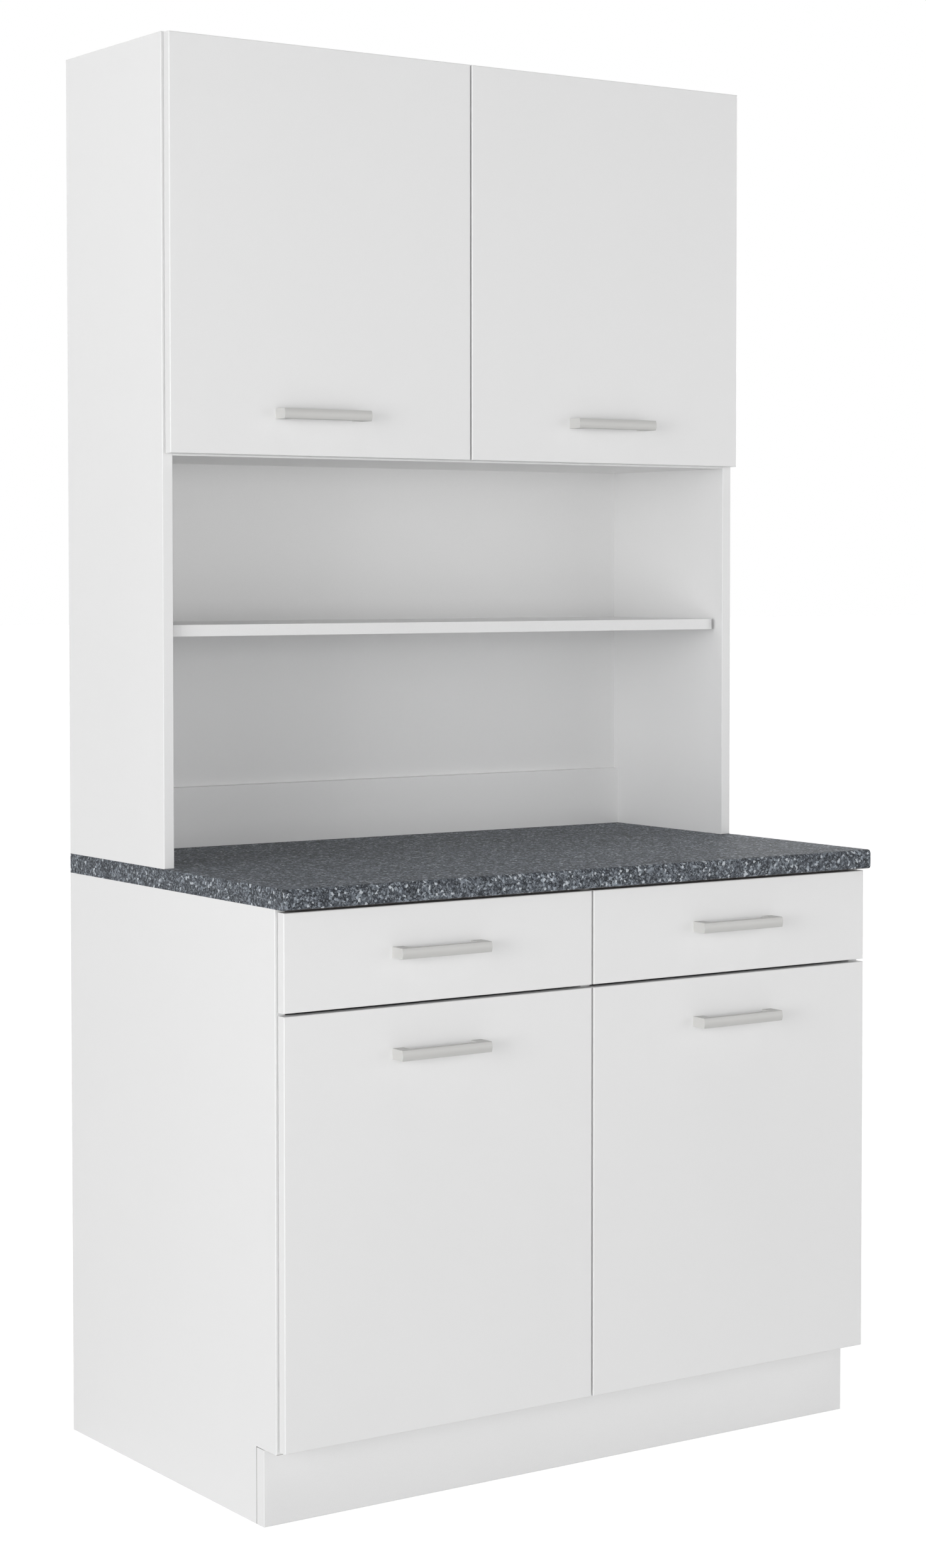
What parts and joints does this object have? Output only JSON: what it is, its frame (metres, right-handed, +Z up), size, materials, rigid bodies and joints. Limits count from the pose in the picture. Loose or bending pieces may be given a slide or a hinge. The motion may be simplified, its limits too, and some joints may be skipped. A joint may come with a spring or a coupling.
{
  "type": "kitchen buffet",
  "caption": "White kitchen buffet: base cabinet with drawers over doors, dark worktop, and a hutch with an open niche below closed upper doors.",
  "frame": {"origin": "on the floor, midway between the sides and midway between the back plane and the front of the handles", "axes": "+Z up, +Y from the front to the back, +X to the right as seen from the front"},
  "size_m": [1, 0.635, 2],
  "materials": {
    "carcass_board": "white melamine-faced chipboard, satin, finely textured",
    "front_board": "white melamine-faced chipboard with rounded edging",
    "thin_board": "white-lacquered fibreboard",
    "drawer_board": "white foil-wrapped drawer board",
    "worktop_laminate": "dark blue-grey granite-effect laminate on chipboard",
    "handle_metal": "satin nickel-coloured die casting",
    "hinge_steel": "nickel-plated pressing",
    "runner_steel": "zinc-plated sheet",
    "fitting_steel": "zinc-plated"
  },
  "bodies": {
    "carcass": {"base_back": "thin_board", "base_divider": "carcass_board", "base_floor": "carcass_board", "base_shelf_left": "carcass_board", "base_shelf_right": "carcass_board", "base_side_left": "carcass_board", "base_side_right": "carcass_board", "base_top_rails": "carcass_board", "carcass_runners": "runner_steel", "hinge_arms": "hinge_steel", "hinge_plates": "hinge_steel", "hutch_back": "thin_board", "hutch_back_rail": "carcass_board", "hutch_divider": "carcass_board", "hutch_floor": "carcass_board", "hutch_shelf_left": "carcass_board", "hutch_shelf_right": "carcass_board", "hutch_side_left": "carcass_board", "hutch_side_right": "carcass_board", "hutch_top": "carcass_board", "niche_shelf": "carcass_board", "plinth": "carcass_board", "plinth_brackets": "fitting_steel", "shelf_supports": "fitting_steel", "worktop": "worktop_laminate"},
    "drawer_left": {"drawer_left_back": "drawer_board", "drawer_left_bottom": "thin_board", "drawer_left_front": "front_board", "drawer_left_handle": "handle_metal", "drawer_left_runners": "runner_steel", "drawer_left_sides": "drawer_board"},
    "drawer_right": {"drawer_right_back": "drawer_board", "drawer_right_bottom": "thin_board", "drawer_right_front": "front_board", "drawer_right_handle": "handle_metal", "drawer_right_runners": "runner_steel", "drawer_right_sides": "drawer_board"},
    "lower_door_left": {"lower_door_left": "front_board", "lower_handle_left": "handle_metal", "lower_hinge_cups_left": "hinge_steel"},
    "lower_door_right": {"lower_door_right": "front_board", "lower_handle_right": "handle_metal", "lower_hinge_cups_right": "hinge_steel"},
    "upper_door_left": {"upper_door_left": "front_board", "upper_handle_left": "handle_metal", "upper_hinge_cups_left": "hinge_steel"},
    "upper_door_right": {"upper_door_right": "front_board", "upper_handle_right": "handle_metal", "upper_hinge_cups_right": "hinge_steel"}
  },
  "joints": [
    {"name": "drawer_left_slide", "type": "slide", "parent": "carcass", "child": "drawer_left", "axis": [0, -1, 0], "range_m": [0, 0.375]},
    {"name": "lower_door_left_swing", "type": "hinge", "parent": "carcass", "child": "lower_door_left", "pos_m": [-0.4915, -0.283, 0.39575], "axis": [0, 0, -1], "range_deg": [0, 100]},
    {"name": "upper_door_left_swing", "type": "hinge", "parent": "carcass", "child": "upper_door_left", "pos_m": [-0.4915, 0.019, 1.71125], "axis": [0, 0, -1], "range_deg": [0, 100]},
    {"name": "drawer_right_slide", "type": "slide", "parent": "carcass", "child": "drawer_right", "axis": [0, -1, 0], "range_m": [0, 0.375]},
    {"name": "lower_door_right_swing", "type": "hinge", "parent": "carcass", "child": "lower_door_right", "pos_m": [0.4915, -0.283, 0.39575], "axis": [0, 0, 1], "range_deg": [0, 100]},
    {"name": "upper_door_right_swing", "type": "hinge", "parent": "carcass", "child": "upper_door_right", "pos_m": [0.4915, 0.019, 1.71125], "axis": [0, 0, 1], "range_deg": [0, 100]}
  ]
}
